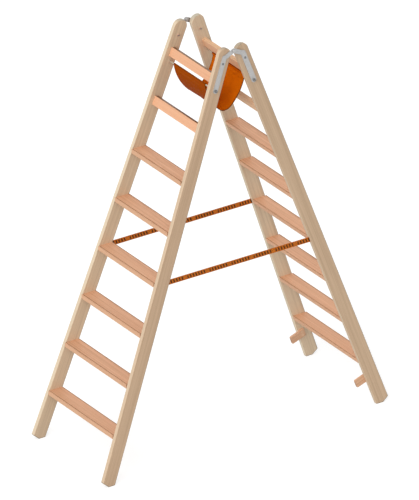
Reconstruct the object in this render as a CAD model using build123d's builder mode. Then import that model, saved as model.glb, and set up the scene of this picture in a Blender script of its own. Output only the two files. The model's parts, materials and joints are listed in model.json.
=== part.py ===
from build123d import *

import os
from math import atan2, cos, radians, sin, tan

# Double-sided wooden stepladder, in millimetres and degrees.
# +Z is up from the floor, +Y runs from the front frame to the rear frame, +X to the right.
# The origin lies on the floor, midway between the four feet.

# Whole ladder
open_angle = 40.0  # between the two climbing frames
pin_height = 2145.5  # hinge axis above the floor
foot_spread = 651.5  # outside width at the floor
head_spread = 409.0  # outside width at the hinge axis
folded_gap = 11.0  # between the frames when folded

# Stiles
stile_width = 75.0
stile_thickness = 23.0
stile_edge_radius = 3.0
head_drop = 32.5  # centre of the round head below the hinge axis
foot_flat = 39.0  # level part of the foot
foot_chamfer_run = 29.0
foot_chamfer_rise = 25.0

# Steps: level treads below, rungs along the slope above, all at one rise
step_rise = 250.0
tread_count = 6
rung_count = 2
first_tread_top = 262.5
tread_depth = 86.0
tread_thickness = 25.0
tread_setback = 0.5  # inner edge behind the stile's inner narrow face
tread_edge_radius = 2.0
groove_width = 3.5  # grip grooves along both long edges of a tread
groove_depth = 2.0
groove_inset = 5.0  # middle of a groove from the tread's edge
rung_height = 49.0
rung_thickness = 22.0
rung_setback = 26.0  # front face behind the stile's outer narrow face
top_rung_drop = 143.0  # middle of the top rung below the hinge axis
rung_edge_radius = 2.0

# Stub tenons of the steps
tenon_length = 8.0
tread_tenon_width = 44.0
tread_tenon_thickness = 16.0
tread_tenon_margin = 10.0  # from the stile's outer narrow face
rung_tenon_width = 36.0
rung_tenon_thickness = 14.0
glue_gap = 0.2

# Hinge leaves and pins
leaf_width = 28.0
leaf_arm_width = 24.0  # of the arms and the eyes round the pin
leaf_thickness = 4.0
leaf_bend_drop = 45.0  # where the arm leaves the strap, below the hinge axis
leaf_crank_start = 14.0  # from the bend, along the arm
leaf_crank_run = 14.0
leaf_gap = 0.4  # between the two eyes
pin_radius = 5.0
pin_clearance = 0.08
pin_head_radius = 9.0
pin_head_height = 4.0
pin_head_round = 2.5

# Upper hinge bolts
bolt_drop = 76.0  # below the hinge axis
bolt_radius = 3.0
bolt_clearance = 0.2
bolt_head_radius = 6.0
bolt_head_height = 3.5
bolt_head_round = 2.8
bolt_tail = 2.0  # beyond the nut
thread_clearance = 0.05
nut_across_flats = 10.0
nut_height = 5.0
washer_radius = 6.5
washer_thickness = 1.6

# Tie rods through the lower holes of the leaves
rod_drop = 217.0  # below the hinge axis
rod_radius = 4.0
rod_tail = 2.0  # beyond the nut
rod_chamfer = 0.8
rod_nut_across_flats = 13.0
rod_nut_height = 6.5
seat_gap = 0.05  # nut to leaf

# Tool sling on the tie rods
sling_length = 280.0
sling_shift = -6.0  # of its middle along the rods
sling_depth = 173.0  # below the tie rods
sling_thickness = 2.5
sling_bottom_radius = 68.0
sling_bottom_angle = 49.0  # half the angle of the bottom arc
hem_clearance = 0.4

# Webbing straps that limit the opening
strap_height = 998.5  # middle of the webbing above the floor
strap_width = 29.0
strap_thickness = 2.0
strap_tuck = 18.0  # length inside each stile
kerf_side_gap = 0.5
kerf_end_gap = 1.0
strap_pin_radius = 2.5
strap_pin_depth = 11.0  # from the stile's inner narrow face
strap_pin_cover = 5.0  # wood left over its blind end
strap_pin_inset = 1.0  # its other end below the stile's inner wide face
strap_pin_clearance = 0.3

# Guide blocks on the rear stiles
guide_height = 145.0  # middle of the block's rear end above the floor
guide_reach = 54.0  # beyond the stile's inner narrow face
guide_seat = 32.0  # on the stile
guide_width = 44.0
guide_thickness = 12.0
guide_relief = 1.0  # clear of the front stile when folded
guide_corner_radius = 6.0
screw_radius = 2.5
screw_head_radius = 5.0
screw_head_height = 2.8
screw_bite = 15.0  # into the stile
screw_spread = 20.0  # between the two screws, along the stile
screw_inset = 16.0  # from the block's end

# Values that follow from the sizes above
half_angle = open_angle / 2
lean_sin = sin(radians(half_angle))
lean_cos = cos(radians(half_angle))
lean_tan = tan(radians(half_angle))
inner_offset = folded_gap / 2
middle_offset = inner_offset + stile_width / 2
outer_offset = inner_offset + stile_width
crank = leaf_thickness + leaf_gap
hem_radius = rod_radius + hem_clearance + sling_thickness
leaf_radius = leaf_width / 2
eye_radius = leaf_arm_width / 2
right_way = Vector(1, 0, 0)

frames = {"front": -1, "rear": 1}
hands = {"left": -1, "right": 1}


def outward(facing):
    """Normal of a frame, away from the other frame."""
    return Vector(0, facing * lean_cos, lean_sin)


def upslope(facing):
    """Direction up a frame's slope."""
    return Vector(0, -facing * lean_sin, lean_cos)


def frame_point(facing, along, out):
    """Point at X = 0, reached from the hinge axis along the slope and out of the frame."""
    return Vector(0, 0, pin_height) + upslope(facing) * along + outward(facing) * out


def along_at(height, out):
    """Way along the slope at which a line, out from the hinge axis, has this height."""
    return (height - pin_height - out * lean_sin) / lean_cos


def inner_face_y(height):
    """Distance of the stiles' inner narrow faces from the ladder's middle plane."""
    return ((pin_height - height) * lean_sin + inner_offset) / lean_cos


stile_run = -along_at(0, middle_offset)
taper = atan2((foot_spread - head_spread) / 2, stile_run)


def outer_x(along):
    """Half of the frame's outside width."""
    return head_spread / 2 - along * tan(taper)


def inner_x(along):
    """Half of the frame's inside width."""
    return outer_x(along) - stile_thickness / cos(taper)


def face_plane(facing, side, inset=0.0):
    """Plane of a stile's outer wide face, or inset into the wood. Its y runs up the stile."""
    normal = right_way * (side * cos(taper)) + upslope(facing) * sin(taper)
    origin = Vector(side * head_spread / 2, 0, pin_height) - normal * inset
    return Plane(origin=origin, x_dir=outward(facing) * (facing * side), z_dir=normal)


def foot_plane(facing):
    """Plane of the chamfer under the outer side of the feet."""
    origin = (0, facing * (inner_face_y(0) + foot_flat), 0)
    normal = (0, -facing * foot_chamfer_rise, foot_chamfer_run)
    return Plane(origin=origin, x_dir=(1, 0, 0), z_dir=normal)


def tread_tops():
    """Heights of the treads' upper faces, from the lowest."""
    return [first_tread_top + step_rise * level for level in range(tread_count)]


def rung_heights():
    """Heights of the rungs' middles, from the lowest, hung from the hinge axis at the steps' rise."""
    lowest = pin_height - top_rung_drop - step_rise * (rung_count - 1)
    return [lowest + step_rise * level for level in range(rung_count)]


def tread_tenon_plane(facing, top):
    """Level plane through the middle of a tread's tenons."""
    height = top - tread_thickness / 2
    stile_depth = stile_width / lean_cos
    reach = inner_face_y(height) + stile_depth - tread_tenon_margin - tread_tenon_width / 2
    return Plane(origin=(0, facing * reach, height), x_dir=(1, 0, 0), z_dir=(0, 0, 1))


def rung_plane(facing, height):
    """Plane through the middle of a rung, along the slope."""
    out = outer_offset - rung_setback - rung_thickness / 2
    origin = frame_point(facing, along_at(height, out), out)
    return Plane(origin=origin, x_dir=(1, 0, 0), z_dir=outward(facing))


def tenon_tip(facing, place):
    """Half of the length over a step's two tenons."""
    along = (place.origin - Vector(0, 0, pin_height)).dot(upslope(facing))
    return inner_x(along) + tenon_length


def tenons(facing):
    """Place, width and thickness of every tenon in a frame."""
    treads = [
        (tread_tenon_plane(facing, top), tread_tenon_width, tread_tenon_thickness) for top in tread_tops()
    ]
    rungs = [
        (rung_plane(facing, height), rung_tenon_width, rung_tenon_thickness) for height in rung_heights()
    ]
    return treads + rungs


def rod_place(facing):
    """Y and Z of a tie rod."""
    middle = frame_point(facing, -rod_drop, middle_offset)
    return (middle.Y, middle.Z)


def strap_x():
    """Half of the distance between the straps, which enter the stiles at mid-thickness."""
    along = along_at(strap_height, inner_offset)
    return (outer_x(along) + inner_x(along)) / 2


def strap_pin_place(facing):
    """Y and Z of the pin through a strap's end."""
    return (facing * (inner_face_y(strap_height) + strap_pin_depth), strap_height)


def strap_pin_span():
    """Half distances from the middle plane to the two ends of a strap pin."""
    along = along_at(strap_height, inner_offset + strap_pin_depth * lean_cos)
    return inner_x(along) + strap_pin_inset, outer_x(along) - strap_pin_cover


def guide_along():
    """Way along the stile to the middle of a guide block."""
    return along_at(guide_height, inner_offset) / cos(taper)


def guide_screw_places(across):
    """Screw centres of a guide block, on the plane of the stile's face."""
    out = across * (inner_offset + guide_seat - screw_inset)
    return [(out, guide_along() + screw_spread * half) for half in (-0.5, 0.5)]


def stile(facing, side):
    """Tapering side member with a round head, a level foot and its mortises and holes."""
    across = facing * side
    face = face_plane(facing, side)
    pin_start, pin_end = strap_pin_span()
    with BuildPart() as wood:
        with BuildSketch(face):
            with Locations((across * middle_offset, -head_drop)):
                Circle(stile_width / 2)
                Rectangle(stile_width, stile_run + stile_width, align=(Align.CENTER, Align.MAX))
        extrude(amount=-stile_thickness)
        long_edges = wood.edges().filter_by(Axis(face.origin, face.z_dir), reverse=True)
        fillet(long_edges, stile_edge_radius)
        split(bisect_by=Plane.XY)
        split(bisect_by=foot_plane(facing))
        for place, width, thickness in tenons(facing):
            length = 2 * (tenon_tip(facing, place) + glue_gap)
            with Locations(place):
                Box(length, width + 2 * glue_gap, thickness + 2 * glue_gap, mode=Mode.SUBTRACT)
        with BuildSketch(face):
            with Locations((across * middle_offset, -bolt_drop)):
                Circle(bolt_radius + bolt_clearance)
        extrude(amount=-stile_thickness, mode=Mode.SUBTRACT)
        with BuildSketch(Plane.YZ):
            with Locations(rod_place(facing)):
                Circle(rod_radius + bolt_clearance)
        extrude(amount=side * foot_spread, mode=Mode.SUBTRACT)
        kerf_end = inner_face_y(strap_height) + strap_tuck + kerf_end_gap
        kerf_mouth = inner_face_y(strap_height + strap_width) - stile_edge_radius
        with Locations((side * strap_x(), facing * (kerf_mouth + kerf_end) / 2, strap_height)):
            Box(
                strap_thickness + 2 * kerf_side_gap,
                kerf_end - kerf_mouth,
                strap_width + 2 * kerf_end_gap,
                mode=Mode.SUBTRACT,
            )
        with BuildSketch(Plane.YZ):
            with Locations(strap_pin_place(facing)):
                Circle(strap_pin_radius + thread_clearance)
        extrude(amount=side * (pin_end + seat_gap), mode=Mode.SUBTRACT)
        if facing == frames["rear"]:
            with BuildSketch(face_plane(facing, side, stile_thickness)):
                with Locations(*guide_screw_places(across)):
                    Circle(screw_radius + thread_clearance)
            extrude(amount=screw_bite + seat_gap, mode=Mode.SUBTRACT)
    return wood


def tread(facing, top):
    """Level board, its outer edge upright and its inner edge along the slope, grooved for grip."""
    inner = inner_face_y(top) + tread_setback
    outer = inner + tread_depth
    bottom = top - tread_thickness
    place = tread_tenon_plane(facing, top)
    with BuildPart() as board:
        with BuildSketch(Plane.YZ):
            with BuildLine():
                Polyline(
                    (facing * inner, top),
                    (facing * outer, top),
                    (facing * outer, bottom),
                    (facing * (inner + tread_thickness * lean_tan), bottom),
                    close=True,
                )
            make_face()
        extrude(amount=foot_spread / 2, both=True)
        fillet(board.edges().filter_by(Axis.X), tread_edge_radius)
        for side in hands.values():
            split(bisect_by=face_plane(facing, side, stile_thickness), keep=Keep.BOTTOM)
        for groove in (inner + groove_inset, outer - groove_inset):
            with Locations((0, facing * groove, top)):
                Box(foot_spread, groove_width, 2 * groove_depth, mode=Mode.SUBTRACT)
        with Locations(place):
            Box(2 * tenon_tip(facing, place), tread_tenon_width, tread_tenon_thickness)
    return board


def rung(facing, height):
    """Rectangular bar along the slope of the frame."""
    place = rung_plane(facing, height)
    with BuildPart() as bar:
        with Locations(place):
            Box(foot_spread, rung_height, rung_thickness)
        fillet(bar.edges().filter_by(Axis.X), rung_edge_radius)
        for side in hands.values():
            split(bisect_by=face_plane(facing, side, stile_thickness), keep=Keep.BOTTOM)
        with Locations(place):
            Box(2 * tenon_tip(facing, place), rung_tenon_width, rung_tenon_thickness)
    return bar


arm_inner_x = outer_x(-(leaf_bend_drop + leaf_radius))


def hinge_leaf(facing, side, offset):
    """Flat strap on the stile, with an arm to the hinge pin that is cranked out by the offset."""
    across = facing * side
    face = face_plane(facing, side)
    bend = frame_point(facing, -leaf_bend_drop, middle_offset)
    arm = Vector(0, 0, pin_height) - bend
    arm_plane = Plane(origin=bend, x_dir=arm, z_dir=arm.cross(right_way * side))
    near = arm_inner_x
    far = arm_inner_x + offset
    crank_end = leaf_crank_start + leaf_crank_run
    with BuildPart() as leaf:
        with BuildSketch(face):
            with Locations((across * middle_offset, -(rod_drop + leaf_bend_drop) / 2)):
                SlotCenterToCenter(rod_drop - leaf_bend_drop, leaf_width, rotation=90)
        extrude(amount=leaf_thickness)
        with BuildSketch(arm_plane):
            with BuildLine():
                Polyline(
                    (0, near),
                    (leaf_crank_start, near),
                    (crank_end, far),
                    (arm.length, far),
                    (arm.length, far + leaf_thickness),
                    (crank_end, far + leaf_thickness),
                    (leaf_crank_start, near + leaf_thickness),
                    (0, near + leaf_thickness),
                    close=True,
                )
            make_face()
        extrude(amount=eye_radius, both=True)
        with BuildSketch(Plane.YZ.offset(side * far)):
            with Locations((0, pin_height)):
                Circle(eye_radius)
        extrude(amount=side * leaf_thickness)
        with BuildSketch(Plane.YZ):
            with Locations((0, pin_height)):
                Circle(pin_radius + pin_clearance)
            with Locations(rod_place(facing)):
                Circle(rod_radius + bolt_clearance)
        extrude(amount=side * foot_spread, mode=Mode.SUBTRACT)
        with BuildSketch(face):
            with Locations((across * middle_offset, -bolt_drop)):
                Circle(bolt_radius + bolt_clearance)
        extrude(amount=leaf_thickness, mode=Mode.SUBTRACT)
    return leaf


def hinge_pin(side):
    """Rivet through the eyes of two leaves, with a round head at each end."""
    inner_end = arm_inner_x
    outer_end = arm_inner_x + crank + leaf_thickness + leaf_gap
    with BuildPart() as pin:
        with BuildSketch(Plane.YZ.offset(side * (inner_end - pin_head_height))):
            with Locations((0, pin_height)):
                Circle(pin_head_radius)
        extrude(amount=side * pin_head_height)
        with BuildSketch(Plane.YZ.offset(side * inner_end)):
            with Locations((0, pin_height)):
                Circle(pin_radius)
        extrude(amount=side * (outer_end - inner_end))
        with BuildSketch(Plane.YZ.offset(side * outer_end)):
            with Locations((0, pin_height)):
                Circle(pin_head_radius)
        extrude(amount=side * pin_head_height)
        ends = pin.edges().filter_by(GeomType.CIRCLE).group_by(Axis.X)
        fillet(ends[0] + ends[-1], pin_head_round)
    return pin


def hinge_bolts(facing):
    """Upper bolts of a frame's two leaves, with round heads outside."""
    reach = leaf_thickness + stile_thickness + washer_thickness + nut_height + bolt_tail
    with BuildPart() as bolts:
        for side in hands.values():
            with BuildSketch(face_plane(facing, side, -leaf_thickness)):
                with Locations((facing * side * middle_offset, -bolt_drop)):
                    Circle(bolt_radius)
            extrude(amount=-reach)
            with BuildSketch(face_plane(facing, side, -leaf_thickness)):
                with Locations((facing * side * middle_offset, -bolt_drop)):
                    Circle(bolt_head_radius)
            extrude(amount=bolt_head_height)
        ends = bolts.edges().filter_by(GeomType.CIRCLE).group_by(Axis.X)
        fillet(ends[0] + ends[-1], bolt_head_round)
    return bolts


def hinge_washers(facing):
    """Washers of the upper hinge bolts, on the inner wide faces."""
    with BuildPart() as washers:
        for side in hands.values():
            with BuildSketch(face_plane(facing, side, stile_thickness)):
                with Locations((facing * side * middle_offset, -bolt_drop)):
                    Circle(washer_radius)
                    Circle(bolt_radius + bolt_clearance, mode=Mode.SUBTRACT)
            extrude(amount=-washer_thickness)
    return washers


def hinge_nuts(facing):
    """Hexagon nuts of the upper hinge bolts."""
    with BuildPart() as nuts:
        for side in hands.values():
            with BuildSketch(face_plane(facing, side, stile_thickness + washer_thickness)):
                with Locations((facing * side * middle_offset, -bolt_drop)):
                    RegularPolygon(nut_across_flats / 2, 6, major_radius=False)
                    Circle(bolt_radius + thread_clearance, mode=Mode.SUBTRACT)
            extrude(amount=-nut_height)
    return nuts


def rod_seat(across_flats):
    """Half width at which a nut on the tie rod meets the leaf, whose face leans with the stile."""
    return outer_x(-rod_drop - across_flats / 2 / cos(radians(30))) + leaf_thickness / cos(taper) + seat_gap


def tie_rod(facing):
    """Round rod across a frame, through both leaves."""
    half_length = rod_seat(rod_nut_across_flats) + rod_nut_height + rod_tail
    with BuildPart() as rod:
        with BuildSketch(Plane.YZ):
            with Locations(rod_place(facing)):
                Circle(rod_radius)
        extrude(amount=half_length, both=True)
        chamfer(rod.edges().filter_by(GeomType.CIRCLE), rod_chamfer)
    return rod


def tie_rod_nuts(facing):
    """Hexagon nuts on the two ends of a tie rod."""
    with BuildPart() as nuts:
        for side in hands.values():
            with BuildSketch(Plane.YZ.offset(side * rod_seat(rod_nut_across_flats))):
                with Locations(rod_place(facing)):
                    RegularPolygon(rod_nut_across_flats / 2, 6, major_radius=False)
                    Circle(rod_radius + thread_clearance, mode=Mode.SUBTRACT)
            extrude(amount=side * rod_nut_height)
    return nuts


def tool_sling():
    """Open-ended trough of coated fabric, with a hem round each tie rod."""
    rod_y, rod_z = rod_place(frames["rear"])
    turn = radians(sling_bottom_angle)
    bottom_z = rod_z - sling_depth
    side_y = sling_bottom_radius * sin(turn)
    side_z = bottom_z + sling_bottom_radius * (1 - cos(turn))
    with BuildPart() as sling:
        with BuildSketch(Plane.YZ.offset(sling_shift)):
            with BuildLine():
                ThreePointArc((-side_y, side_z), (0, bottom_z), (side_y, side_z))
                for way in (-1, 1):
                    TangentArc(
                        (way * side_y, side_z), (way * rod_y, rod_z), tangent=(way * cos(turn), sin(turn))
                    )
            trace(line_width=sling_thickness)
            with Locations((-rod_y, rod_z), (rod_y, rod_z)):
                Circle(hem_radius)
            with Locations((-rod_y, rod_z), (rod_y, rod_z)):
                Circle(rod_radius + hem_clearance, mode=Mode.SUBTRACT)
        extrude(amount=sling_length / 2, both=True)
    return sling


def spreader_strap(side):
    """Flat webbing from stile to stile, standing on edge, with a hole at each end for its pin."""
    half_length = inner_face_y(strap_height) + strap_tuck
    with BuildPart() as strap:
        with Locations((side * strap_x(), 0, strap_height)):
            Box(strap_thickness, 2 * half_length, strap_width)
        with BuildSketch(Plane.YZ):
            with Locations(*[strap_pin_place(facing) for facing in frames.values()]):
                Circle(strap_pin_radius + strap_pin_clearance)
        extrude(amount=side * foot_spread, mode=Mode.SUBTRACT)
    return strap


def strap_pins(facing):
    """Pins that hold the strap ends in a frame's kerfs, put in from the inner faces."""
    start, end = strap_pin_span()
    with BuildPart() as pins:
        for side in hands.values():
            with BuildSketch(Plane.YZ.offset(side * start)):
                with Locations(strap_pin_place(facing)):
                    Circle(strap_pin_radius)
            extrude(amount=side * (end - start))
    return pins


def guide_block(side):
    """Wooden block on the inner face of a rear stile, which slides inside the front stile."""
    facing = frames["rear"]
    across = facing * side
    seat = face_plane(facing, side, stile_thickness)
    middle = across * (inner_offset + (guide_seat - guide_reach) / 2)
    relief_middle = across * (inner_offset - guide_reach / 2)
    with BuildPart() as block:
        with BuildSketch(seat):
            with Locations((middle, guide_along())):
                Rectangle(guide_seat + guide_reach, guide_width)
        extrude(amount=-guide_thickness)
        tip_edges = block.edges().filter_by(Axis(seat.origin, seat.z_dir)).sort_by(Axis.Y)[:2]
        fillet(tip_edges, guide_corner_radius)
        with BuildSketch(seat):
            with Locations((relief_middle, guide_along())):
                Rectangle(guide_reach, guide_width)
        extrude(amount=-guide_relief, mode=Mode.SUBTRACT)
        for x, y in guide_screw_places(across):
            with Locations(Plane(seat.from_local_coords((x, y, -guide_thickness)), z_dir=-seat.z_dir)):
                CounterSinkHole(
                    screw_radius + thread_clearance, screw_head_radius + thread_clearance, guide_thickness
                )
    return block


def guide_screws():
    """Countersunk wood screws of both guide blocks."""
    facing = frames["rear"]
    with BuildPart() as screws:
        for side in hands.values():
            top = face_plane(facing, side, stile_thickness + guide_thickness)
            with BuildSketch(top):
                with Locations(*guide_screw_places(facing * side)):
                    Circle(screw_radius)
            extrude(amount=guide_thickness + screw_bite)
            for x, y in guide_screw_places(facing * side):
                with Locations(Plane(top.from_local_coords((x, y, 0)), z_dir=top.z_dir)):
                    Cone(
                        screw_head_radius,
                        screw_radius,
                        screw_head_height,
                        align=(Align.CENTER, Align.CENTER, Align.MIN),
                    )
    return screws


def save(builder, name):
    """Label a finished piece and write it as its own file."""
    builder.part.label = name
    export_step(builder.part, f"parts/{name}.step")


os.makedirs("parts", exist_ok=True)

for frame, facing in frames.items():
    for hand, side in hands.items():
        save(stile(facing, side), f"{frame}_stile_{hand}")
        leaf_offset = crank if frame == "rear" else 0.0
        save(hinge_leaf(facing, side, leaf_offset), f"{frame}_hinge_leaf_{hand}")
    for number, top in enumerate(tread_tops(), 1):
        save(tread(facing, top), f"{frame}_tread_{number}")
    for number, height in enumerate(rung_heights(), tread_count + 1):
        save(rung(facing, height), f"{frame}_rung_{number}")
    save(hinge_bolts(facing), f"{frame}_hinge_bolts")
    save(hinge_washers(facing), f"{frame}_hinge_washers")
    save(hinge_nuts(facing), f"{frame}_hinge_nuts")
    save(tie_rod(facing), f"{frame}_tie_rod")
    save(tie_rod_nuts(facing), f"{frame}_tie_rod_nuts")
    save(strap_pins(facing), f"{frame}_strap_pins")

for hand, side in hands.items():
    save(hinge_pin(side), f"hinge_pin_{hand}")
    save(spreader_strap(side), f"spreader_strap_{hand}")
    save(guide_block(side), f"guide_block_{hand}")

save(guide_screws(), "guide_block_screws")
save(tool_sling(), "tool_sling")
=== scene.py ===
import json
from math import atan2, cos, hypot, pi, radians, sin

import bpy
import numpy as np
from mathutils import Euler, Matrix, Vector


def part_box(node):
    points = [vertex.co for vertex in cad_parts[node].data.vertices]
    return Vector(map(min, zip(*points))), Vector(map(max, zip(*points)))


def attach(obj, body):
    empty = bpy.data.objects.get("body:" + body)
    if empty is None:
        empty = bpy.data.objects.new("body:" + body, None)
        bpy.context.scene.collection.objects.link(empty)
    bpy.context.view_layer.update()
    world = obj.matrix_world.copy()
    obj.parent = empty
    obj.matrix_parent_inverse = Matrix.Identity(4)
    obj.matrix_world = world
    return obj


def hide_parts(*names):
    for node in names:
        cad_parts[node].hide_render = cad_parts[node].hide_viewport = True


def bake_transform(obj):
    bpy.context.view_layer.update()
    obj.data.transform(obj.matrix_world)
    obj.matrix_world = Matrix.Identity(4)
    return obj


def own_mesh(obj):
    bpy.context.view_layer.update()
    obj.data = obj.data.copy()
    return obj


# Wooden double-sided stepladder: finishes, webbing straps and a tool sling around the fixed frame.
# Lengths are in metres, in the frame's own axes: +X to the right, +Y to the rear, +Z up.

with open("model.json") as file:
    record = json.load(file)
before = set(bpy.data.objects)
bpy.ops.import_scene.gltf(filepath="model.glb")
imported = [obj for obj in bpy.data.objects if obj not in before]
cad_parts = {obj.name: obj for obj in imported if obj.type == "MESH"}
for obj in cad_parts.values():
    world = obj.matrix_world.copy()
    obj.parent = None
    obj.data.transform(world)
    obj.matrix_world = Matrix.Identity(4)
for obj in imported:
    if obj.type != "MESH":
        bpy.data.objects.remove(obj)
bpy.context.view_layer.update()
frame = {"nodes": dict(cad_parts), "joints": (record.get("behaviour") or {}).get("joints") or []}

# Camera: a very long lens far away, because the picture shows almost no perspective
camera_azimuth = radians(56.069)
camera_elevation = radians(26.917)
camera_lens = 1400.0  # in millimetres
camera_distance = 96.83
camera_reach = 200.0
view_centre = Vector((0.0, 0.0, 0.95))
view_shift_right = -0.0029
view_shift_up = 0.0006

# Light and floor
ambient = 0.60
key_strength = 1.99
key_spread = radians(60.0)
key_from = Vector((0.42, -0.755, 0.505))
fill_strength = 0.9
fill_spread = radians(70.0)
fill_from = Vector((-0.6, 0.78, 0.1))
backdrop_strength = 1.0
floor_size = 60.0
floor_tone = 0.5
floor_lift = 0.62  # glow that whitens the floor where it is seen, but lights nothing

# Colours, linear
white = (1.0, 1.0, 1.0)
pine_early = (0.717, 0.518, 0.350)
pine_late = (0.485, 0.325, 0.205)
pine_end = (0.480, 0.400, 0.300)
# Narrow-face tone of the pine: paler partly for its edge grain, partly as a painted sheen
pine_edge_and_sheen = (0.790, 0.655, 0.490)
beech_early = (0.880, 0.490, 0.290)
beech_late = (0.600, 0.290, 0.155)
beech_end = (0.520, 0.270, 0.160)
# Narrow-face tones of the treads and rungs: paler partly for their edge grain, partly as a painted
# sheen
tread_edge_and_sheen = (0.806, 0.504, 0.319)
rung_edge_and_sheen = (0.800, 0.440, 0.265)
# Painted shade in the treads' grip grooves, for the front and the rear frame
front_groove_shade = (0.280, 0.122, 0.055)
rear_groove_shade = (0.370, 0.190, 0.100)
# Painted shade on the tops of the rungs
top_shade = (0.170, 0.085, 0.040)
# Painted shade on the stiles' rims: rear arris, head, sole and toe
rim_shade = (0.230, 0.195, 0.150)
zinc_pale = (0.535, 0.525, 0.515)
zinc_dark = (0.465, 0.458, 0.450)
brown_pale = (0.72, 0.53, 0.42)
brown_dark = (0.52, 0.37, 0.29)
gold_pale = (0.76, 0.51, 0.33)
gold_dark = (0.66, 0.43, 0.27)
yellow_pale = (0.66, 0.58, 0.46)
yellow_dark = (0.55, 0.48, 0.38)
bolt_pale = (0.21, 0.22, 0.235)
bolt_dark = (0.15, 0.16, 0.17)
orange_web = (0.950, 0.270, 0.030)
# Painted light on the sling's inner face and flap, painted shade on its outer face
orange_lit_inside = (0.770, 0.167, 0.0005)
orange_shaded_coat = (0.385, 0.068, 0.001)
orange_deep = (0.360, 0.062, 0.002)
orange_shade = (0.240, 0.042, 0.001)
# Painted shade along the sling's cut ends and the fold over the rod
orange_edge_shade = (0.100, 0.030, 0.004)
print_ink = (0.035, 0.014, 0.008)
thread_pale = (0.70, 0.24, 0.04)

# Kinds of wood: tones of early wood, late wood, end grain and narrow faces (paler partly for edge
# grain, partly as a painted sheen), width of a year's ring, place of the pith across and through
# the board, and strength of streaks, veins and flecks
pine = {
    "tones": (pine_early, pine_late, pine_end, pine_edge_and_sheen),
    "ring": 0.0038,
    "pith": (0.03, 0.14),
    "streak": 0.30,
    "vein": 0.45,
    "fleck": 0.30,
}
tread_beech = {
    "tones": (beech_early, beech_late, beech_end, tread_edge_and_sheen),
    "ring": 0.0045,
    "pith": (0.02, 0.05),
    "streak": 0.34,
    "vein": 0.30,
    "fleck": 0.75,
}
rung_beech = {**tread_beech, "tones": (beech_early, beech_late, beech_end, rung_edge_and_sheen)}

# Each board's own tint over its kind: partly tone that differs from board to board, partly painted
# light and shade that evens out how the lamps light the front and rear frames and the light bounced
# between parts
board_tints_and_painted_light = {
    "front_stile_left": (1.00, 1.045, 1.055),
    "front_stile_right": (0.917, 0.892, 0.867),
    "rear_stile_left": (1.075, 1.165, 1.21),
    "rear_stile_right": (0.915, 0.91, 0.89),
    "front_tread": (0.86, 0.862, 0.862),
    "rear_tread": (0.91, 0.90, 0.89),
    "front_rung_7": (0.975, 0.965, 0.96),
    "front_rung_8": (0.975, 0.965, 0.96),
    "rear_rung_7": (1.07, 1.28, 1.30),
    "rear_rung_8": (0.97, 1.13, 1.17),
    "guide_block": (0.88, 0.965, 1.02),
}
level_turn = Euler((0.0, 0.0, 0.0))  # of a board that lies along X already

# Wood grain: noises in features per metre along, across and through a board
warp_grain = (1.1, 10.0, 10.0)
ripple_grain = (5.0, 40.0, 40.0)
streak_grain = (0.7, 26.0, 26.0)
vein_grain = (1.3, 95.0, 95.0)
fine_grain = (3.0, 190.0, 190.0)
fibre_grain = (18.0, 900.0, 900.0)
fleck_grain = (130.0, 1100.0, 1100.0)
warp_reach = 0.035  # how far the noises push the rings
ripple_reach = 0.0025
late_start = (0.25, 0.92)  # shares of a ring over which its late wood comes and goes
late_stop = (1.0, 0.94)
late_share = 0.30
fine_share = (-0.22, 0.48)
fleck_limits = (0.66, 0.78)
fleck_tone = 0.55
narrow_limits = (0.55, 0.95)  # parts of the normal at which narrow faces and end grain show
narrow_share = 0.5
ending_limits = (0.45, 1.0)
ending_share = 0.9
fibre_height = 0.5
late_height = 0.35
wood_relief = 0.00025
wood_roughness = (0.46, 0.64)
wood_specular = 0.25

# Painted shade on the wood: in the treads' grip grooves, on the stiles' rims and on the rungs' tops
groove_depth = 0.002
groove_lip = 0.3 * groove_depth
groove_floor = 1.2 * groove_depth
groove_limits = (0.965, 0.985)
rim_width = 0.005
rim_core = 0.3 * rim_width
rim_share = (0.45, 0.95)
top_shade_limits = (0.72, 0.93)
front_top_shade = 0.9
rear_top_shade = 0.12

# Steel: noises in features per metre
bloom_grain = (160.0, 160.0, 160.0)
cloud_grain = (28.0, 28.0, 28.0)
rolling_grain = (900.0, 900.0, 60.0)
bloom_share = 0.6
cloud_share = 0.4
bloom_limits = (0.35, 0.65)
cut_limits = (0.5, 0.9)
steel_relief = 0.00004
steel_roughness = (0.40, 0.56)
steel_metallic = 0.6

# Weave of both cloths
weave_gap = 0.16  # share of a thread's width
weave_smooth = 0.9
weave_low = (0.75, 0.75, 0.75)
black = (0.0, 0.0, 0.0)

# Webbing straps
strap_thickness = 0.0018
strap_flat_share = 0.85
strap_steps = 90
selvedge = 0.0016
selvedge_foot = 2.2 * selvedge
selvedge_turns = (0.0, 0.5, 1.0, pi / 2)
strap_thread = (0.0024, 0.0016)
strap_soil_grain = (9.0, 60.0, 1.0)
strap_soil = (0.0, 0.25)
strap_relief = 0.00035
strap_roughness = (0.72, 0.9)
thread_specular = 0.12
print_pitch = 0.0165
print_slant = 0.35
print_bar = (0.25, 0.29)
print_group = 0.132
print_group_end = (0.82, 0.815)
print_half_height = 0.0098
print_blur = 0.0004
print_wear_grain = (260.0, 420.0, 1.0)
print_wear = (0.75, 1.0)

# Tool sling: cloth
cloth_thickness = 0.0016
cad_cloth_thickness = 0.0025
cloth_thread = (0.0021, 0.0021)
soil_grain = (11.0, 11.0, 1.0)
soil_limits = (0.8, 0.2)
soil_share = 0.4
crease_grain = (5.0, 34.0, 1.0)
crease_height = 1.4
thread_height = 0.35
thread_shade = (0.16, 0.0)
cloth_relief = 0.0005
cloth_roughness = (0.50, 0.66)
cloth_specular = 0.01
inside_shift = 1.0  # of the inner face's place on the cloth, to tell it from the outer one
# Width of the painted shade along the cut ends and the fold
edge_width = 0.004
edge_core = 0.4 * edge_width
fold_shade = 0.45

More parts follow.
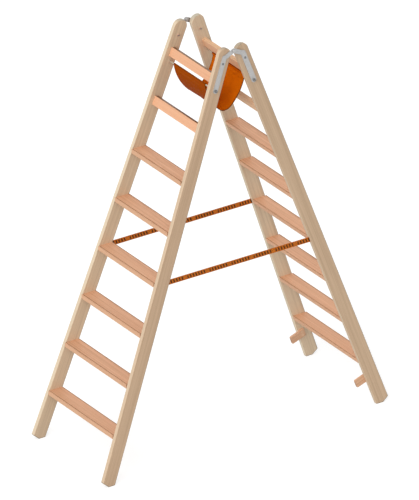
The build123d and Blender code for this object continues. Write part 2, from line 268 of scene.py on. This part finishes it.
# Tool sling: form
sling_bottom_radius = 0.050
sling_bottom_turn = radians(44.0)
bottom_points = 13
wall_points = 41
hem_points = 19
flap_points = 18
top_tries = 20
rod_clearance = 0.0004
hem_flap = 0.034
hem_close = 0.016
hem_gap = 0.0003
wave_fade = 0.05
waves = ((0.0006, 31.0, 24.0, 0.7), (0.0004, 57.0, -15.0, 0.0))  # height, pace along X and Y, start
binding_width = 0.009
binding_height = 0.0007
cut_edge = 0.0002
cut_share = 0.45
end_insets = (0.0, 0.0006, 0.004, binding_width - 0.0005, binding_width + 0.0001)
inner_inset = 0.004
inner_columns = 34

# Tool sling: stitches
stitch_pitch = 0.0056
stitch_length = 0.0038
stitch_radius = 0.00042
stitch_rings = ((-0.5, 0.45), (-0.28, 1.0), (0.28, 1.0), (0.5, 0.45))  # place and size of each
stitch_corners = 6
stitch_flatness = 0.8
stitch_lift = 0.25
stitch_ahead = 0.001
hem_stitch_rows = (0.019, 0.026)
hem_stitch_start = 0.006
hem_stitch_stop = 0.005
binding_stitch_inset = 0.006
binding_stitch_start = 0.004
twist_grain = (1500.0, 1500.0, 1500.0)
twist_relief = 0.0001
twist_roughness = (0.6, 0.8)


class Nodes:
    """A node tree, with one short call for each kind of node."""

    def __init__(self, owner):
        owner.use_nodes = True
        self.tree = owner.node_tree

    def put(self, socket, value):
        """Link another node's output to a socket, or set a constant on it."""
        if isinstance(value, bpy.types.NodeSocket):
            self.tree.links.new(value, socket)
        elif socket.type == "RGBA":
            socket.default_value = (*value, 1.0)
        else:
            socket.default_value = value

    def node(self, kind, inputs, **settings):
        made = self.tree.nodes.new(kind)
        for name, value in settings.items():
            setattr(made, name, value)
        for name, value in inputs.items():
            self.put(made.inputs[name], value)
        return made

    def math(self, operation, *values, clamp=False):
        inputs = dict(enumerate(values))
        return self.node("ShaderNodeMath", inputs, operation=operation, use_clamp=clamp).outputs[0]

    def seen_ray(self):
        """1 for the rays that show the background: seen straight, mirrored or through glass."""
        path = self.node("ShaderNodeLightPath", {}).outputs
        mirrored = self.math("MAXIMUM", path["Is Camera Ray"], path["Is Glossy Ray"])
        return self.math("MAXIMUM", mirrored, path["Is Transmission Ray"])


class Shader(Nodes):
    """A material's nodes, which end in its own surface."""

    def __init__(self, name):
        self.material = bpy.data.materials.new(name)
        super().__init__(self.material)
        self.surface = self.tree.nodes["Principled BSDF"]

    def vector(self, operation, *values):
        inputs = dict(enumerate(values))
        return self.node("ShaderNodeVectorMath", inputs, operation=operation).outputs[0]

    def noise(self, place, grain, detail=2.0, roughness=0.5):
        """Noise with this many features per metre along each axis."""
        scaled = self.vector("MULTIPLY", place, grain)
        inputs = {"Vector": scaled, "Scale": 1.0, "Detail": detail, "Roughness": roughness}
        return self.node("ShaderNodeTexNoise", inputs).outputs[0]

    def between(self, value, low, high):
        """Map a value from low to high onto 0 to 1, with soft ends."""
        inputs = {"Value": value, "From Min": low, "From Max": high}
        made = self.node("ShaderNodeMapRange", inputs, interpolation_type="SMOOTHSTEP")
        return made.outputs[0]

    def spread(self, value, low, high):
        """Map a value from 0 to 1 onto low to high."""
        inputs = {"Value": value, "To Min": low, "To Max": high}
        return self.node("ShaderNodeMapRange", inputs).outputs[0]

    def mix(self, share, first, second):
        inputs = {0: share, 6: first, 7: second}
        return self.node("ShaderNodeMix", inputs, data_type="RGBA").outputs[2]

    def split(self, vector):
        return self.node("ShaderNodeSeparateXYZ", {0: vector}).outputs

    def turned(self, vector, turn):
        return self.node("ShaderNodeMapping", {"Vector": vector, "Rotation": turn}).outputs[0]

    def object_place(self):
        return self.node("ShaderNodeTexCoord", {}).outputs["Object"]

    def object_normal(self):
        return self.node("ShaderNodeTexCoord", {}).outputs["Normal"]

    def cloth_place(self):
        return self.node("ShaderNodeUVMap", {}, uv_map="cloth").outputs[0]

    def weave(self, place, thread):
        """Height of a plain weave: bulging threads laid like bricks."""
        length, width = thread
        inputs = {
            "Vector": place,
            "Color1": white,
            "Color2": weave_low,
            "Mortar": black,
            "Scale": 1.0,
            "Mortar Size": weave_gap * width,
            "Mortar Smooth": weave_smooth,
            "Brick Width": length,
            "Row Height": width,
        }
        colour = self.node("ShaderNodeTexBrick", inputs).outputs["Color"]
        return self.node("ShaderNodeRGBToBW", {0: colour}).outputs[0]

    def finish(self, colour, roughness, height, depth, **constants):
        """Feed the surface: colour, roughness and relief, then what is the same all over it."""
        bump = self.node("ShaderNodeBump", {"Height": height, "Strength": 1.0, "Distance": depth})
        self.put(self.surface.inputs["Base Color"], colour)
        self.put(self.surface.inputs["Roughness"], roughness)
        self.put(self.surface.inputs["Normal"], bump.outputs[0])
        for name, value in constants.items():
            self.surface.inputs[name.replace("_", " ")].default_value = value
        return self.material


def board_turn(node):
    """Turn that takes a board's length, width and thickness to X, Y and Z."""
    points = np.array([vertex.co for vertex in node.data.vertices])
    axes = np.linalg.eigh(np.cov(points.T))[1].T[::-1]
    length, width = (Vector(axis) * np.sign(axis[np.argmax(np.abs(axis))]) for axis in axes[:2])
    return Matrix((length, width, length.cross(width))).to_euler()


def late_wood(shader, place, ring, pith):
    """1 in the late wood of each year's ring, the rings wavering about a far pith."""
    _, across, through = shader.split(place)
    off_across = shader.math("POWER", shader.math("ADD", across, pith[0]), 2.0)
    off_through = shader.math("POWER", shader.math("ADD", through, pith[1]), 2.0)
    radius = shader.math("SQRT", shader.math("ADD", off_across, off_through))
    warp = shader.noise(place, warp_grain, detail=3.0)
    radius = shader.math("MULTIPLY_ADD", warp, warp_reach, radius)
    ripple = shader.noise(place, ripple_grain)
    radius = shader.math("MULTIPLY_ADD", ripple, ripple_reach, radius)
    year = shader.math("FRACT", shader.math("DIVIDE", radius, ring))
    coming, going = shader.between(year, *late_start), shader.between(year, *late_stop)
    return shader.math("MULTIPLY", coming, going)


def wood(name, turn, tint_and_light, kind, groove=None, rims=(), top_shade_share=0.0):
    """Solid wood with its grain along X after the turn, its own ends and edges (narrow faces partly
    a painted sheen), and any painted shade in grooves, on rims and on tops.
    """
    early, late, end, edge = (tuple(np.multiply(tint_and_light, tone)) for tone in kind["tones"])
    shader = Shader(name)
    place = shader.turned(shader.object_place(), turn)
    late_band = late_wood(shader, place, kind["ring"], kind["pith"])
    fine = shader.noise(place, fine_grain, detail=3.0, roughness=0.6)
    vein = shader.noise(place, vein_grain, detail=1.0)
    streak = shader.noise(place, streak_grain, detail=3.0)
    share = shader.math("MULTIPLY_ADD", late_band, late_share, shader.spread(fine, *fine_share))
    share = shader.math("ADD", share, shader.spread(vein, -kind["vein"], kind["vein"]))
    streaks = shader.spread(streak, -kind["streak"], kind["streak"])
    share = shader.math("ADD", share, streaks, clamp=True)
    colour = shader.mix(share, early, late)
    fleck = shader.between(shader.noise(place, fleck_grain, detail=1.0), *fleck_limits)
    dark = tuple(fleck_tone * part for part in late)
    colour = shader.mix(shader.math("MULTIPLY", fleck, kind["fleck"]), colour, dark)

    normal = shader.turned(shader.object_normal(), turn)
    endways, edgeways, _ = (shader.math("ABSOLUTE", part) for part in shader.split(normal))
    # Narrow faces turn paler: partly their edge grain, partly a painted sheen
    narrow = shader.between(edgeways, *narrow_limits)
    colour = shader.mix(shader.math("MULTIPLY", narrow, narrow_share), colour, edge)
    ending = shader.between(endways, *ending_limits)
    colour = shader.mix(shader.math("MULTIPLY", ending, ending_share), colour, end)

    # Painted shade in the treads' grip grooves
    if groove is not None:
        soil_and_shade, top, rise = groove
        colour = shader.mix(groove_shade_mask(shader, place, normal, top, rise), colour, soil_and_shade)
    # Painted shade along the stiles' rims
    for way, limit in rims:
        colour = shader.mix(rim_shade_mask(shader, fine, ending, way, limit), colour, rim_shade)
    # Painted shade on faces that tilt up, the rungs' tops
    if top_shade_share:
        upward = shader.between(shader.split(shader.object_normal())[2], *top_shade_limits)
        colour = shader.mix(shader.math("MULTIPLY", upward, top_shade_share), colour, top_shade)

    fibre = shader.noise(place, fibre_grain)
    height = shader.math("MULTIPLY", late_band, late_height)
    height = shader.math("MULTIPLY_ADD", fibre, fibre_height, height)
    roughness = shader.spread(fine, *wood_roughness)
    return shader.finish(colour, roughness, height, wood_relief, Specular_IOR_Level=wood_specular)


def groove_shade_mask(shader, place, normal, top, rise):
    """Mask of painted shade: 1 in the grooves, floors and walls, of treads whose tops lie at one
    rise, otherwise 0.
    """
    down = shader.math("SUBTRACT", top, shader.split(place)[2])
    level = shader.math("FRACT", shader.math("DIVIDE", down, rise))
    below = shader.math("MULTIPLY", level, rise)
    below_top = shader.between(below, 0.0, groove_lip)
    above_floor = shader.between(below, groove_floor, groove_depth)
    inside = shader.math("MULTIPLY", below_top, above_floor)
    across, up = (shader.math("ABSOLUTE", shader.split(normal)[axis]) for axis in (1, 2))
    square = shader.between(shader.math("MAXIMUM", across, up), *groove_limits)
    return shader.math("MULTIPLY", inside, square)


def rim_shade_mask(shader, fine, ending, way, limit):
    """Painted shade on the rim of a stile that lies furthest along a direction, but not on its end
    grain.
    """
    inputs = {0: shader.object_place(), 1: way}
    reach = shader.node("ShaderNodeVectorMath", inputs, operation="DOT_PRODUCT").outputs["Value"]
    near = shader.between(reach, limit - rim_width, limit - rim_core)
    near = shader.math("MULTIPLY", near, shader.math("SUBTRACT", 1.0, ending))
    return shader.math("MULTIPLY", near, shader.spread(fine, *rim_share))


def stile_rims(node, side):
    """Rims of a stile that get painted shade: rear arris, head, sole and toe, each a direction and
    its reach.
    """
    facing = -1.0 if side == "front" else 1.0
    lean = radians(frame["joints"][0]["range_deg"][1] / 2)
    corners = [vertex.co for vertex in node.data.vertices]
    toe_top = max(corners, key=lambda corner: facing * corner.y)
    low_corners = [corner for corner in corners if corner.z < rim_width]
    toe_end = max(low_corners, key=lambda corner: facing * corner.y)
    toe_rise = toe_top - toe_end
    rear = Vector((0.0, cos(lean), facing * sin(lean)))
    head = Vector((0.0, -facing * sin(lean), cos(lean)))
    sole = Vector((0.0, 0.0, -1.0))
    toe = facing * Vector((0.0, toe_rise.z, -toe_rise.y)).normalized()
    return [(way, max(way.dot(corner) for corner in corners)) for way in (rear, head, sole, toe)]


def steel(name, dark, pale, ends=None):
    """Plated steel: a cloudy bloom, fine rolling lines, and a tone of its own on cut ends."""
    shader = Shader(name)
    place = shader.object_place()
    bloom = shader.noise(place, bloom_grain, detail=3.0, roughness=0.6)
    cloud = shader.noise(place, cloud_grain)
    lines = shader.noise(place, rolling_grain)
    share = shader.math("MULTIPLY", cloud, cloud_share)
    share = shader.math("MULTIPLY_ADD", bloom, bloom_share, share)
    colour = shader.mix(shader.between(share, *bloom_limits), dark, pale)
    if ends is not None:
        endways = shader.math("ABSOLUTE", shader.split(shader.object_normal())[0])
        colour = shader.mix(shader.between(endways, *cut_limits), colour, ends)
    roughness = shader.spread(bloom, *steel_roughness)
    return shader.finish(colour, roughness, lines, steel_relief, Metallic=steel_metallic)


def orange_webbing(width):
    """Orange webbing with a printed band of dark slanted bars."""
    shader = Shader("orange_webbing")
    place = shader.cloth_place()
    along, across, _ = shader.split(place)
    threads = shader.weave(place, strap_thread)
    soil_and_shade = shader.noise(place, strap_soil_grain, detail=3.0)
    colour = shader.mix(threads, orange_shade, orange_web)
    colour = shader.mix(shader.spread(soil_and_shade, *strap_soil), colour, orange_shade)

    slanted = shader.math("MULTIPLY_ADD", across, print_slant, along)
    stripe = shader.math("PINGPONG", shader.math("DIVIDE", slanted, print_pitch), 0.5)
    bar = shader.between(stripe, *print_bar)
    group = shader.math("FRACT", shader.math("DIVIDE", along, print_group))
    bar = shader.math("MULTIPLY", bar, shader.between(group, *print_group_end))
    off_middle = shader.math("ABSOLUTE", shader.math("SUBTRACT", across, width / 2))
    band = shader.between(off_middle, print_half_height, print_half_height - print_blur)
    bar = shader.math("MULTIPLY", bar, band)
    worn = shader.spread(shader.noise(place, print_wear_grain), *print_wear)
    colour = shader.mix(shader.math("MULTIPLY", bar, worn), colour, print_ink)

    roughness = shader.spread(soil_and_shade, *strap_roughness)
    return shader.finish(
        colour, roughness, threads, strap_relief, Specular_IOR_Level=thread_specular
    )


def orange_fabric(length, hem_start, hem_end):
    """Orange coated fabric: dull coat, with painted shade on the outer face and painted light on
    the inner face and the flap, and painted shade along the cut ends and the fold over the rod.
    """
    shader = Shader("orange_coated_fabric")
    place = shader.cloth_place()
    across, along, _ = shader.split(place)
    # The outer face gets a darker, painted-shade tone; the inner face and the flap a brighter,
    # painted-light tone
    inner_face = shader.math("GREATER_THAN", across, inside_shift / 2)
    flap = shader.math("GREATER_THAN", along, hem_end)
    coat = shader.mix(shader.math("MAXIMUM", inner_face, flap), orange_shaded_coat, orange_lit_inside)
    soil_and_shade = shader.noise(place, soil_grain, detail=4.0, roughness=0.6)
    soiled = shader.mix(soil_share, coat, orange_deep)
    colour = shader.mix(shader.between(soil_and_shade, *soil_limits), coat, soiled)
    threads = shader.weave(place, cloth_thread)
    colour = shader.mix(shader.spread(threads, *thread_shade), colour, orange_shade)

    # Painted shade along the cut ends and the fold over the rod
    from_start = shader.math("FRACT", across)
    from_middle = shader.math("ABSOLUTE", shader.math("SUBTRACT", from_start, length / 2))
    cut_end = shader.between(from_middle, length / 2 - edge_width, length / 2 - edge_core)
    fold_start = shader.between(along, hem_start, hem_start + edge_width)
    fold_end = shader.between(along, hem_end, hem_end - edge_width)
    fold = shader.math("MULTIPLY", shader.math("MULTIPLY", fold_start, fold_end), fold_shade)
    colour = shader.mix(shader.math("MAXIMUM", cut_end, fold), colour, orange_edge_shade)

    crease = shader.noise(place, crease_grain)
    height = shader.math("MULTIPLY", threads, thread_height)
    height = shader.math("MULTIPLY_ADD", crease, crease_height, height)
    roughness = shader.spread(soil_and_shade, *cloth_roughness)
    return shader.finish(colour, roughness, height, cloth_relief, Specular_IOR_Level=cloth_specular)


def sewing_thread():
    """Twisted sewing thread."""
    shader = Shader("sewing_thread")
    twist = shader.noise(shader.object_place(), twist_grain, detail=1.0)
    colour = shader.mix(twist, orange_shade, thread_pale)
    roughness = shader.spread(twist, *twist_roughness)
    return shader.finish(colour, roughness, twist, twist_relief, Specular_IOR_Level=thread_specular)


def new_object(name, points, faces, material, uvs=None):
    """Shown object of a smooth mesh, with a flat place on the cloth for each point."""
    mesh = bpy.data.meshes.new(name)
    mesh.from_pydata(points, [], faces)
    if uvs is not None:
        corners = np.array(uvs)[[loop.vertex_index for loop in mesh.loops]]
        mesh.uv_layers.new(name="cloth").data.foreach_set("uv", corners.ravel())
    mesh.materials.append(material)
    mesh.polygons.foreach_set("use_smooth", [True] * len(mesh.polygons))
    mesh.update()
    made = bpy.data.objects.new(name, mesh)
    bpy.context.scene.collection.objects.link(made)
    return made


def skin(name, rows, uvs, material):
    """Object over rows of points that join up round a section, with both ends capped."""
    count = len(rows[0])
    points = [point for row in rows for point in row]
    faces = []
    for start in range(0, len(points) - count, count):
        for step in range(count):
            here, there = start + step, start + (step + 1) % count
            faces.append((here, here + count, there + count, there))
    faces.append(tuple(range(count)))
    faces.append(tuple(range(len(points) - count, len(points)))[::-1])
    return new_object(name, points, faces, material, uvs)


def strap_section(width):
    """Outline of the webbing as X and Z offsets: flat between two fuller, rounded selvedges."""
    half_width, half = width / 2, strap_thickness / 2
    flat = strap_flat_share * half
    quarter = [(flat, 0.0), (flat, half_width - selvedge_foot)]
    for turn in selvedge_turns:
        quarter.append((half * cos(turn), half_width - selvedge + selvedge * sin(turn)))
    upper = quarter + [(-x, z) for x, z in quarter[-2::-1]]
    return upper + [(-x, -z) for x, z in upper[1:-1]]


def add_strap(hand, material):
    """Taut webbing between two stiles, carried by the front frame."""
    node = f"spreader_strap_{hand}"
    low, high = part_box(node)
    middle = (low + high) / 2
    width = high.z - low.z
    section = strap_section(width)
    rows, uvs = [], []
    for y in np.linspace(low.y, high.y, strap_steps + 1):
        rows.append([(middle.x + x, y, middle.z + z) for x, z in section])
        uvs += [(y - low.y, z + width / 2) for _, z in section]
    made = skin(f"webbing_strap_{hand}", rows, uvs, material)
    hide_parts(node)
    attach(made, "front_frame")
    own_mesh(made)


def smooth(value):
    """Soft step from 0 to 1."""
    value = np.clip(value, 0.0, 1.0)
    return value * value * (3.0 - 2.0 * value)


def arc(centre, radius, turns):
    """Points in Y and Z round a centre, turned from straight below it."""
    y = centre[0] + radius * np.sin(turns)
    z = centre[1] - radius * np.cos(turns)
    return np.stack([y, z], axis=-1)


class SlingHalf:
    """One wall of the sling, from the middle of its bottom up round a tie rod and into its hem."""

    def __init__(self, sign):
        self.side = "front" if sign < 0 else "rear"
        self.sign = sign
        rod_low, rod_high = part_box(f"{self.side}_tie_rod")
        low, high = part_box("tool_sling")
        self.length = high.x - low.x
        self.middle = (high.x + low.x) / 2
        self.rod = ((rod_low + rod_high) / 2).yz
        self.rod.x = abs(self.rod.x)
        self.hem_radius = (rod_high.z - rod_low.z) / 2 + rod_clearance + cloth_thickness / 2
        self.bottom = low.z + cad_cloth_thickness / 2
        self.trace()

    def trace(self):
        """Middle line of the cloth in Y and Z, as if it were the rear wall."""
        low_turn = sling_bottom_turn
        bottom_centre = (0.0, self.bottom + sling_bottom_radius)
        bottom = arc(bottom_centre, sling_bottom_radius, np.linspace(0.0, low_turn, bottom_points))
        start = bottom[-1]
        top_turn = pi / 2
        for _ in range(top_tries):
            top = arc(self.rod, self.hem_radius, top_turn)
            top_turn = 2 * atan2(top[1] - start[1], top[0] - start[0]) - low_turn
        radius = hypot(*(top - start)) / (2 * sin((top_turn - low_turn) / 2))
        centre = start - arc((0.0, 0.0), radius, low_turn)
        wall = arc(centre, radius, np.linspace(low_turn, top_turn, wall_points))[1:]
        hem_turns = np.linspace(top_turn, top_turn + pi, hem_points)
        hem = arc(self.rod, self.hem_radius, hem_turns)[1:]
        down = np.linspace(0.0, hem_flap, flap_points)[1:]
        close = smooth(down / hem_close)
        gap = 2 * self.hem_radius * (1 - close) + (cloth_thickness + hem_gap) * close
        flap = arc(centre, radius - gap, top_turn - down / radius)

        self.line = np.concatenate([bottom, wall, hem, flap])
        steps = np.linalg.norm(np.diff(self.line, axis=0), axis=1)
        self.along = np.concatenate([[0.0], np.cumsum(steps)])
        self.wall_end = self.along[len(bottom) + len(wall) - 1]
        self.hem_end = self.along[len(bottom) + len(wall) + len(hem) - 1]
        tangent = np.gradient(self.line, self.along, axis=0)
        tangent[0] = (1.0, 0.0)
        tangent /= np.linalg.norm(tangent, axis=1)[:, None]
        self.outward = np.stack([tangent[:, 1], -tangent[:, 0]], axis=1)

    def at(self, along, x, lift):
        """Point lifted off the cloth's middle line, X from its own middle, and the way outward."""
        y, z = (np.interp(along, self.along, self.line[:, axis]) for axis in (0, 1))
        out_y, out_z = (np.interp(along, self.along, self.outward[:, axis]) for axis in (0, 1))
        free = smooth((self.wall_end - hem_flap - along) / wave_fade)
        for height, pace_x, pace_y, start in waves:
            lift = lift + free * height * sin(pace_x * x + pace_y * self.sign * y + start)
        point = Vector((self.middle + x, self.sign * (y + lift * out_y), z + lift * out_z))
        return point, Vector((0.0, self.sign * out_y, out_z)).normalized()

    def half_thickness(self, along, x):
        """Half the cloth's thickness: more at the bound ends, thin at the very edge."""
        from_end = self.length / 2 - abs(x)
        bound = from_end < binding_width and along < self.wall_end - hem_flap
        half = cloth_thickness / 2 + (binding_height if bound else 0.0)
        return half * (cut_share if from_end < cut_edge else 1.0)

    def columns(self):
        """Places along X, close together at the ends and at the edge of each binding."""
        ends = [self.length / 2 - inset for inset in end_insets]
        reach = ends[-1] - inner_inset
        inner = np.linspace(-reach, reach, inner_columns)
        return [-x for x in ends] + list(inner) + ends[::-1]

    def add(self, cloth, thread):
        """Cloth and stitches, from the rod to the middle of the bottom."""
        columns = self.columns()
        faces = ((1.0, 0.0, columns), (-1.0, inside_shift, columns[::-1]))
        rings, uvs = [], []
        for along in self.along:
            ring, flat = [], []
            for face, shift, order in faces:
                for x in order:
                    ring.append(self.at(along, x, face * self.half_thickness(along, x))[0])
                    flat.append((x + self.length / 2 + shift, along))
            rings.append(ring[::self.sign])
            uvs += flat[::self.sign]
        sheet = skin(f"sling_{self.side}_wall", rings, uvs, cloth)
        stitches = self.add_stitches(thread)
        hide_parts("tool_sling")
        for piece in (sheet, stitches):
            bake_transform(piece)
        flat = (self.length, float(self.along[-1]))

    def add_stitches(self, thread):
        """Two rows below the rod and one along each bound end, on both faces of the cloth."""
        points, faces = [], []
        half = self.length / 2
        for x in np.arange(hem_stitch_start - half, half - hem_stitch_stop, stitch_pitch):
            for row in hem_stitch_rows:
                for along in (self.wall_end - row, self.hem_end + row):
                    place, out = self.at(along, x, cloth_thickness / 2)
                    add_stitch(points, faces, place, Vector((1, 0, 0)), out)
        binding_end = self.wall_end - hem_flap - binding_stitch_start
        for along in np.arange(binding_stitch_start, binding_end, stitch_pitch):
            for x in (binding_stitch_inset - half, half - binding_stitch_inset):
                for face in (-1.0, 1.0):
                    lift = face * self.half_thickness(along, x)
                    place, out = self.at(along, x, lift)
                    ahead = self.at(along + stitch_ahead, x, lift)[0]
                    add_stitch(points, faces, place, (ahead - place).normalized(), face * out)
        return new_object(f"sling_{self.side}_stitches", points, faces, thread)


def add_stitch(points, faces, place, along, out):
    """Add one stitch, a short bead of thread lying half sunk in the cloth."""
    side = along.cross(out)
    first = len(points)
    for share, size in stitch_rings:
        middle = place + along * (share * stitch_length)
        for corner in range(stitch_corners):
            turn = 2 * pi * corner / stitch_corners
            offset = side * cos(turn) + out * (stitch_flatness * sin(turn) + stitch_lift)
            points.append(middle + offset * (size * stitch_radius))
    last = len(points) - stitch_corners
    for ring in range(first, last, stitch_corners):
        for corner in range(stitch_corners):
            here, there = ring + corner, ring + (corner + 1) % stitch_corners
            faces.append((here, here + stitch_corners, there + stitch_corners, there))
    faces.append(tuple(range(first, first + stitch_corners)))
    faces.append(tuple(range(last, last + stitch_corners))[::-1])


def step_finishes():
    """Finishes of the treads, by frame, and of the rungs, each by its own name."""
    tops = [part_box(f"front_tread_{number}")[1].z for number in (1, 2)]
    rise = tops[1] - tops[0]
    made = {}
    # Each frame's painted shade for the grip grooves and for the rungs' tops
    sides = (("front", front_groove_shade, front_top_shade), ("rear", rear_groove_shade, rear_top_shade))
    for side, soil_and_shade, top_shade_share in sides:
        tread = f"{side}_tread"
        tint_and_light, groove = board_tints_and_painted_light[tread], (soil_and_shade, tops[0], rise)
        made[tread] = wood(f"{tread}_beech", level_turn, tint_and_light, tread_beech, groove=groove)
        for rung in (f"{side}_rung_7", f"{side}_rung_8"):
            made[rung] = wood(f"{rung}_beech", level_turn, board_tints_and_painted_light[rung], rung_beech, top_shade_share=top_shade_share)
    return made


def dress_frame():
    """Give every carried-over solid its finish."""
    steps = step_finishes()
    bright_steel = steel("zinc_plate", zinc_dark, zinc_pale)
    rod_steel = steel("rod_steel", yellow_dark, yellow_pale, ends=bolt_dark)
    brown_steel = steel("passivated_steel", brown_dark, brown_pale)
    gold_steel = steel("gold_screw_steel", gold_dark, gold_pale)
    bolt_steel = steel("bolt_steel", bolt_dark, bolt_pale)
    for name, node in frame["nodes"].items():
        kind = name.rpartition("_")[0]
        if "stile" in name:
            rims = stile_rims(node, name.partition("_")[0])
            finish = wood(f"{name}_pine", board_turn(node), board_tints_and_painted_light[name], pine, rims=rims)
        elif name in steps or kind in steps:
            finish = steps.get(name) or steps[kind]
        elif "screws" in name:
            finish = gold_steel
        elif kind == "guide_block":
            finish = wood(f"{name}_beech", board_turn(node), board_tints_and_painted_light[kind], rung_beech)
        elif name in ("front_tie_rod", "rear_tie_rod"):
            finish = rod_steel
        elif "leaf" in name or "hinge_pin" in name:
            finish = bright_steel
        elif "hinge_nuts" in name or "hinge_washers" in name:
            finish = brown_steel
        else:
            finish = bolt_steel
        for place in node.material_slots:
            place.material = finish


def add_surround():
    """World that lights the ladder evenly and shows as a white backdrop."""
    world = bpy.data.worlds.new("studio")
    bpy.context.scene.world = world
    nodes = Nodes(world)
    nodes.tree.nodes.clear()
    lit = nodes.node("ShaderNodeBackground", {"Color": white, "Strength": ambient})
    seen = nodes.node("ShaderNodeBackground", {"Color": white, "Strength": backdrop_strength})
    inputs = {0: nodes.seen_ray(), 1: lit.outputs[0], 2: seen.outputs[0]}
    choice = nodes.node("ShaderNodeMixShader", inputs)
    nodes.node("ShaderNodeOutputWorld", {0: choice.outputs[0]})


def add_lamp(name, strength, spread, place):
    """Soft sun that shines from a direction."""
    lamp = bpy.data.lights.new(name, "SUN")
    lamp.energy = strength
    lamp.angle = spread
    light = bpy.data.objects.new(name, lamp)
    light.rotation_euler = place.to_track_quat("Z", "Y").to_euler()
    bpy.context.scene.collection.objects.link(light)


def add_floor():
    """White floor that keeps the ladder's shadow."""
    material = bpy.data.materials.new("white_floor")
    nodes = Nodes(material)
    nodes.tree.nodes.clear()
    diffuse = nodes.node("ShaderNodeBsdfDiffuse", {"Color": (floor_tone,) * 3})
    strength = nodes.math("MULTIPLY", nodes.seen_ray(), floor_lift)
    glow = nodes.node("ShaderNodeEmission", {"Strength": strength})
    both = nodes.node("ShaderNodeAddShader", {0: diffuse.outputs[0], 1: glow.outputs[0]})
    nodes.node("ShaderNodeOutputMaterial", {0: both.outputs[0]})
    half = floor_size / 2
    corners = [(-half, -half, 0.0), (half, -half, 0.0), (half, half, 0.0), (-half, half, 0.0)]
    new_object("floor", corners, [(0, 1, 2, 3)], material)


def add_camera():
    """Camera at the picture's angle, which faces the front right from above."""
    turn, tilt = camera_azimuth, camera_elevation
    back = Vector((sin(turn) * cos(tilt), -cos(turn) * cos(tilt), sin(tilt)))
    right = Vector((cos(turn), sin(turn), 0.0))
    lens = bpy.data.cameras.new("camera")
    lens.lens = camera_lens
    lens.clip_end = camera_reach
    camera = bpy.data.objects.new("camera", lens)
    centre = view_centre + right * view_shift_right + back.cross(right) * view_shift_up
    camera.location = centre + back * camera_distance
    camera.rotation_euler = back.to_track_quat("Z", "Y").to_euler()
    bpy.context.scene.collection.objects.link(camera)
    bpy.context.scene.camera = camera


dress_frame()
strap_low, strap_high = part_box("spreader_strap_right")
strap_material = orange_webbing(strap_high.z - strap_low.z)
for hand in ("left", "right"):
    add_strap(hand, strap_material)
sling_halves = [SlingHalf(sign) for sign in (-1, 1)]
rear_half = sling_halves[1]
sling_material = orange_fabric(rear_half.length, rear_half.wall_end, rear_half.hem_end)
thread_material = sewing_thread()
for half in sling_halves:
    half.add(sling_material, thread_material)
add_surround()
add_lamp("key", key_strength, key_spread, key_from)
add_lamp("fill", fill_strength, fill_spread, fill_from)
add_floor()
add_camera()
bpy.context.scene.view_settings.view_transform = "Standard"
